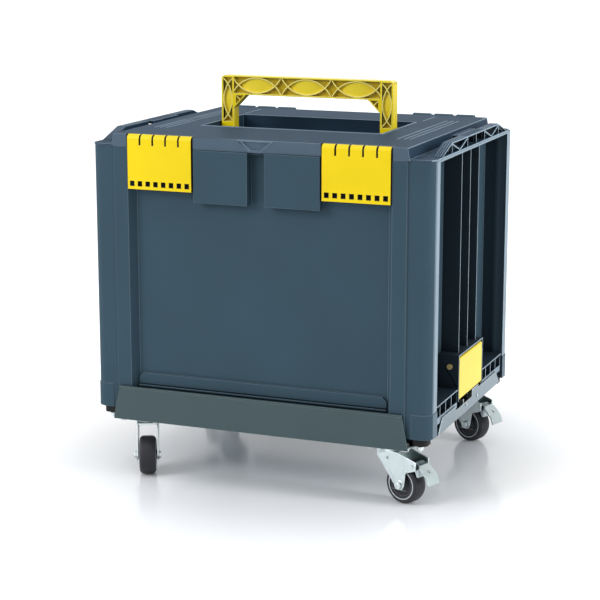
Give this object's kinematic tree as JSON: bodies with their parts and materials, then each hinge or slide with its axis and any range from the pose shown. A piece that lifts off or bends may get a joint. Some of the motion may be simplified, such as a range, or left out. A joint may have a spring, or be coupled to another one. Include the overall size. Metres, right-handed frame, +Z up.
{
  "type": "tool case on a trolley",
  "caption": "Tall hard plastic tool case with a hinged lid, snap latches and a fold-down top handle, clipped to a sheet-metal trolley on swivel casters.",
  "frame": {"origin": "on the floor under the middle of the case", "axes": "+X to the right seen from the front, +Y to the rear, +Z up"},
  "size_m": [0.4638, 0.3721, 0.5085],
  "materials": {
    "case_plastic": "moulded, fine grain",
    "latch_plastic": "satin moulded",
    "zinc_steel": "bright zinc",
    "panel_paint": "satin powder coat",
    "black_rubber": "matte",
    "tyre_rubber": "matte",
    "wheel_plastic": "moulded",
    "brass": "turned"
  },
  "bodies": {
    "base": {"case_body": "case_plastic", "side_wall_screws": "brass", "lid_hinge_pins": "zinc_steel", "side_latch_pins": "zinc_steel", "trolley_deck": "zinc_steel", "trolley_front_panel": "panel_paint", "trolley_rear_panel": "panel_paint", "panel_screws": "zinc_steel", "corner_pads": "black_rubber", "pad_screws": "zinc_steel", "latch_keepers": "zinc_steel", "keeper_rivets": "zinc_steel", "caster_bolts": "zinc_steel", "caster_nuts": "zinc_steel", "caster_plate_fl": "zinc_steel", "caster_plate_fr": "zinc_steel", "caster_plate_bl": "zinc_steel", "caster_plate_br": "zinc_steel"},
    "lid": {"lid": "case_plastic", "lid_seal": "black_rubber", "handle_pivot_pins": "zinc_steel", "front_latch_pins": "zinc_steel"},
    "handle": {"handle": "latch_plastic"},
    "latch_front_left": {"front_latch_left": "latch_plastic"},
    "latch_front_right": {"front_latch_right": "latch_plastic"},
    "latch_side_left": {"side_latch_left": "latch_plastic"},
    "latch_side_right": {"side_latch_right": "latch_plastic"},
    "swivel_fl": {"caster_fork_fl": "zinc_steel", "axle_fl": "zinc_steel"},
    "wheel_fl": {"wheel_hub_fl": "wheel_plastic", "tyre_fl": "tyre_rubber"},
    "swivel_fr": {"caster_fork_fr": "zinc_steel", "axle_fr": "zinc_steel", "brake_pin_fr": "zinc_steel"},
    "wheel_fr": {"wheel_hub_fr": "wheel_plastic", "tyre_fr": "tyre_rubber"},
    "pedal_fr": {"brake_pedal_fr": "zinc_steel"},
    "swivel_bl": {"caster_fork_bl": "zinc_steel", "axle_bl": "zinc_steel"},
    "wheel_bl": {"wheel_hub_bl": "wheel_plastic", "tyre_bl": "tyre_rubber"},
    "swivel_br": {"caster_fork_br": "zinc_steel", "axle_br": "zinc_steel", "brake_pin_br": "zinc_steel"},
    "wheel_br": {"wheel_hub_br": "wheel_plastic", "tyre_br": "tyre_rubber"},
    "pedal_br": {"brake_pedal_br": "zinc_steel"}
  },
  "joints": [
    {"name": "lid_hinge", "type": "hinge", "parent": "base", "child": "lid", "pos_m": [0, 0.171, 0.441], "axis": [-1, 0, 0], "range_deg": [0, 105]},
    {"name": "handle_fold", "type": "hinge", "parent": "lid", "child": "handle", "pos_m": [0, -0.003, 0.439], "axis": [-1, 0, 0], "range_deg": [0, 90]},
    {"name": "front_latch_left_swing", "type": "hinge", "parent": "lid", "child": "latch_front_left", "pos_m": [-0.13075, -0.174, 0.441], "axis": [-1, 0, 0], "range_deg": [0, 150]},
    {"name": "front_latch_right_swing", "type": "hinge", "parent": "lid", "child": "latch_front_right", "pos_m": [0.13075, -0.174, 0.441], "axis": [-1, 0, 0], "range_deg": [0, 150]},
    {"name": "side_latch_left_swing", "type": "hinge", "parent": "base", "child": "latch_side_left", "pos_m": [-0.2235, 0, 0.1615], "axis": [0, 1, 0], "range_deg": [0, 100]},
    {"name": "side_latch_right_swing", "type": "hinge", "parent": "base", "child": "latch_side_right", "pos_m": [0.2235, 0, 0.1615], "axis": [0, -1, 0], "range_deg": [0, 100]},
    {"name": "caster_swivel_fl", "type": "hinge", "parent": "base", "child": "swivel_fl", "pos_m": [-0.17, -0.145, 0.0655], "axis": [0, 0, 1], "continuous": true},
    {"name": "wheel_spin_fl", "type": "hinge", "parent": "swivel_fl", "child": "wheel_fl", "pos_m": [-0.16146, -0.16418, 0.025], "axis": [0.9135, 0.4067, 0], "continuous": true},
    {"name": "caster_swivel_fr", "type": "hinge", "parent": "base", "child": "swivel_fr", "pos_m": [0.17, -0.145, 0.0655], "axis": [0, 0, 1], "continuous": true},
    {"name": "wheel_spin_fr", "type": "hinge", "parent": "swivel_fr", "child": "wheel_fr", "pos_m": [0.18973, -0.15218, 0.025], "axis": [0.342, 0.9397, 0], "continuous": true},
    {"name": "brake_pedal_fr_press", "type": "hinge", "parent": "swivel_fr", "child": "pedal_fr", "pos_m": [0.20853, -0.15902, 0.053], "axis": [0.342, 0.9397, 0], "range_deg": [0, 8]},
    {"name": "caster_swivel_bl", "type": "hinge", "parent": "base", "child": "swivel_bl", "pos_m": [-0.17, 0.145, 0.0655], "axis": [0, 0, 1], "continuous": true},
    {"name": "wheel_spin_bl", "type": "hinge", "parent": "swivel_bl", "child": "wheel_bl", "pos_m": [-0.18973, 0.13782, 0.025], "axis": [0.342, -0.9397, 0], "continuous": true},
    {"name": "caster_swivel_br", "type": "hinge", "parent": "base", "child": "swivel_br", "pos_m": [0.17, 0.145, 0.0655], "axis": [0, 0, 1], "continuous": true},
    {"name": "wheel_spin_br", "type": "hinge", "parent": "swivel_br", "child": "wheel_br", "pos_m": [0.18973, 0.13782, 0.025], "axis": [0.342, 0.9397, 0], "continuous": true},
    {"name": "brake_pedal_br_press", "type": "hinge", "parent": "swivel_br", "child": "pedal_br", "pos_m": [0.20853, 0.13098, 0.053], "axis": [0.342, 0.9397, 0], "range_deg": [0, 8]}
  ]
}
